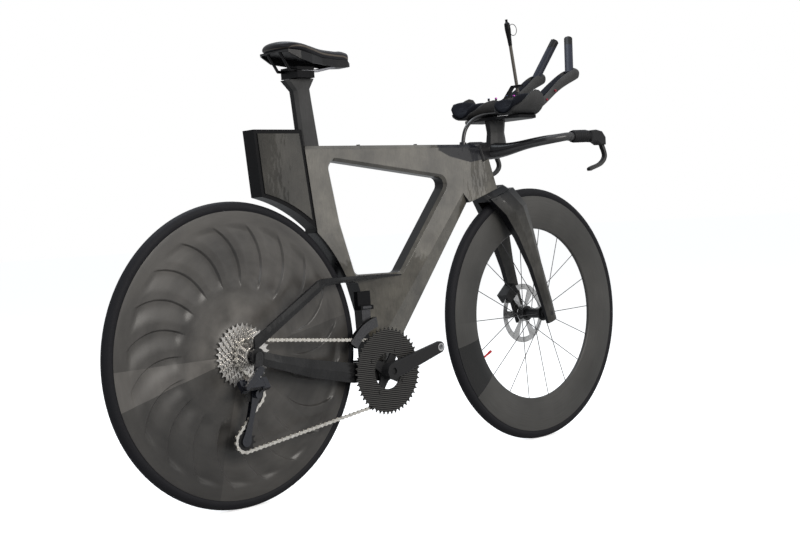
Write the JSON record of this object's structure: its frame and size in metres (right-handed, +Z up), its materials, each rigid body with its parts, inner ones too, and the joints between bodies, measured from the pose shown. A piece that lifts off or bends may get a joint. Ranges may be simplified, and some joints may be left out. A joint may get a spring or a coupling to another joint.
{
  "type": "time trial bicycle",
  "caption": "Aero time trial bicycle with a rear disc wheel, deep front rim, disc brakes, base bar, forearm rests with extensions, a storage box behind the seat and a drinking straw.",
  "frame": {"origin": "on the floor, midway between the two wheel axles", "axes": "+X forward, +Y to the rider's left, +Z up; the drive side is at -Y"},
  "size_m": [1.6724, 0.4052, 1.1287],
  "materials": {
    "frame_paint": "glossy dark carbon lacquer",
    "black_plastic": "matte black",
    "derailleur_black": "glossy black",
    "matte_carbon": "matte carbon",
    "bar_carbon": "glossy carbon",
    "wheel_carbon": "satin carbon",
    "tyre_rubber": "matte rubber",
    "grip_rubber": "ribbed rubber",
    "foam": "cloth over foam",
    "post_grip": "dark blue-black wrap",
    "steel": "bright steel",
    "dark_metal": "dark anodised",
    "crank_black": "matte black anodised",
    "bolt_colour": "coloured anodised",
    "straw": "dull grey plastic",
    "valve_metal": "red cap"
  },
  "bodies": {
    "frame": {"front_triangle": "frame_paint", "seat_stays": "frame_paint", "chain_stays": "frame_paint", "derailleur_hanger": "dark_metal", "rear_axle": "dark_metal", "bottom_bracket_cups": "dark_metal", "headset_bearings": "dark_metal", "storage_box": "black_plastic", "storage_panels": "frame_paint", "frame_screws": "dark_metal", "front_derailleur_body": "black_plastic", "rear_caliper": "crank_black", "derailleur_knuckle": "derailleur_black", "chain": "steel", "drink_hose": "grip_rubber"},
    "seatpost": {"seatpost": "matte_carbon", "saddle_clamp": "black_plastic"},
    "saddle": {"saddle_rails": "steel", "saddle_shell": "bar_carbon", "saddle_cover": "foam"},
    "steering": {"fork": "frame_paint", "front_axle": "dark_metal", "front_caliper": "crank_black", "base_bar": "bar_carbon", "bar_grips": "grip_rubber", "lever_bodies": "black_plastic", "riser_column": "matte_carbon", "riser_bridge": "black_plastic", "arm_cups": "matte_carbon", "arm_pads": "foam", "extensions": "matte_carbon", "grip_posts": "post_grip", "cockpit_bolts": "bolt_colour", "straw_holder": "black_plastic", "drink_straw": "straw", "bite_valve": "black_plastic"},
    "front_wheel": {"front_tyre": "tyre_rubber", "front_rim": "wheel_carbon", "front_spokes": "steel", "front_hub": "dark_metal", "front_rotor": "steel", "front_valve": "valve_metal"},
    "rear_wheel": {"rear_tyre": "tyre_rubber", "rear_disc": "wheel_carbon", "rear_hub": "dark_metal", "rear_rotor": "steel"},
    "cassette": {"cassette": "steel"},
    "crank": {"right_crank_arm": "crank_black", "left_crank_arm": "crank_black", "chainrings": "dark_metal"},
    "left_lever": {"left_brake_lever": "matte_carbon"},
    "right_lever": {"right_brake_lever": "matte_carbon"},
    "derailleur_link": {"derailleur_link": "derailleur_black"},
    "derailleur_carrier": {"derailleur_carrier": "derailleur_black"},
    "derailleur_cage": {"derailleur_cage": "derailleur_black"},
    "guide_pulley": {"guide_pulley": "crank_black"},
    "tension_pulley": {"tension_pulley": "crank_black"},
    "front_derailleur_cage": {"front_derailleur_cage": "steel"},
    "left_button": {"left_shift_button": "black_plastic"},
    "right_button": {"right_shift_button": "black_plastic"}
  },
  "joints": [
    {"name": "steering", "type": "hinge", "parent": "frame", "child": "steering", "pos_m": [0.34168, 0, 0.67408], "axis": [-0.309, 0, 0.9511], "range_deg": [-40, 40], "deforming": ["drink_hose"]},
    {"name": "front_wheel_spin", "type": "hinge", "parent": "steering", "child": "front_wheel", "pos_m": [0.4982, 0, 0.338], "axis": [0, 1, 0], "continuous": true},
    {"name": "rear_wheel_spin", "type": "hinge", "parent": "frame", "child": "rear_wheel", "pos_m": [-0.4982, 0, 0.338], "axis": [0, 1, 0], "continuous": true},
    {"name": "crank_spin", "type": "hinge", "parent": "frame", "child": "crank", "pos_m": [-0.0972, 0, 0.256], "axis": [0, 1, 0], "continuous": true},
    {"name": "cassette_spin", "type": "hinge", "parent": "frame", "child": "cassette", "pos_m": [-0.4982, 0, 0.338], "axis": [0, 1, 0], "continuous": true},
    {"name": "seatpost_slide", "type": "slide", "parent": "frame", "child": "seatpost", "axis": [-0.1149, 0, 0.9934], "range_m": [-0.03, 0.06]},
    {"name": "saddle_slide", "type": "slide", "parent": "seatpost", "child": "saddle", "axis": [1, 0, 0], "range_m": [-0.012, 0.012]},
    {"name": "left_lever_pull", "type": "hinge", "parent": "steering", "child": "left_lever", "pos_m": [0.58824, 0.18861, 0.78427], "axis": [0, 1, 0], "range_deg": [0, 18], "stiffness_Nm_per_rad": 1.5, "springref_deg": -8.59},
    {"name": "right_lever_pull", "type": "hinge", "parent": "steering", "child": "right_lever", "pos_m": [0.58824, -0.18861, 0.78427], "axis": [0, 1, 0], "range_deg": [0, 18], "stiffness_Nm_per_rad": 1.5, "springref_deg": -8.59},
    {"name": "derailleur_shift", "type": "hinge", "parent": "frame", "child": "derailleur_link", "pos_m": [-0.5302, -0.068, 0.276], "axis": [0, 0.5736, 0.8192], "range_deg": [-28, 34], "deforming": ["chain"]},
    {"name": "derailleur_level", "type": "hinge", "parent": "derailleur_link", "child": "derailleur_carrier", "pos_m": [-0.4842, -0.068, 0.276], "axis": [0, 0.5736, 0.8192], "range_deg": [-34, 28]},
    {"name": "derailleur_tension", "type": "hinge", "parent": "derailleur_carrier", "child": "derailleur_cage", "pos_m": [-0.4882, -0.0445, 0.253], "axis": [0, 1, 0], "range_deg": [-25, 12], "stiffness_Nm_per_rad": 0.4, "deforming": ["chain"]},
    {"name": "guide_pulley_spin", "type": "hinge", "parent": "derailleur_cage", "child": "guide_pulley", "pos_m": [-0.4882, -0.0445, 0.253], "axis": [0, 1, 0], "continuous": true},
    {"name": "tension_pulley_spin", "type": "hinge", "parent": "derailleur_cage", "child": "tension_pulley", "pos_m": [-0.52191, -0.0445, 0.15462], "axis": [0, 1, 0], "continuous": true},
    {"name": "front_derailleur_shift", "type": "hinge", "parent": "frame", "child": "front_derailleur_cage", "pos_m": [-0.145, -0.04, 0.4114], "axis": [-1, 0, 0], "range_deg": [0, 7], "deforming": ["chain"]},
    {"name": "left_button_press", "type": "slide", "parent": "steering", "child": "left_button", "axis": [-0.41, 0.3036, -0.8601], "range_m": [0, 0.0015], "stiffness_N_per_m": 900, "springref_m": -0.001},
    {"name": "right_button_press", "type": "slide", "parent": "steering", "child": "right_button", "axis": [-0.41, -0.3036, -0.8601], "range_m": [0, 0.0015], "stiffness_N_per_m": 900, "springref_m": -0.001}
  ],
  "couplings": [
    {"joint": "cassette_spin", "follows": "crank_spin", "ratio": 2.1176},
    {"joint": "guide_pulley_spin", "follows": "crank_spin", "ratio": -3},
    {"joint": "tension_pulley_spin", "follows": "crank_spin", "ratio": 3},
    {"joint": "derailleur_level", "follows": "derailleur_shift", "ratio": -1}
  ]
}
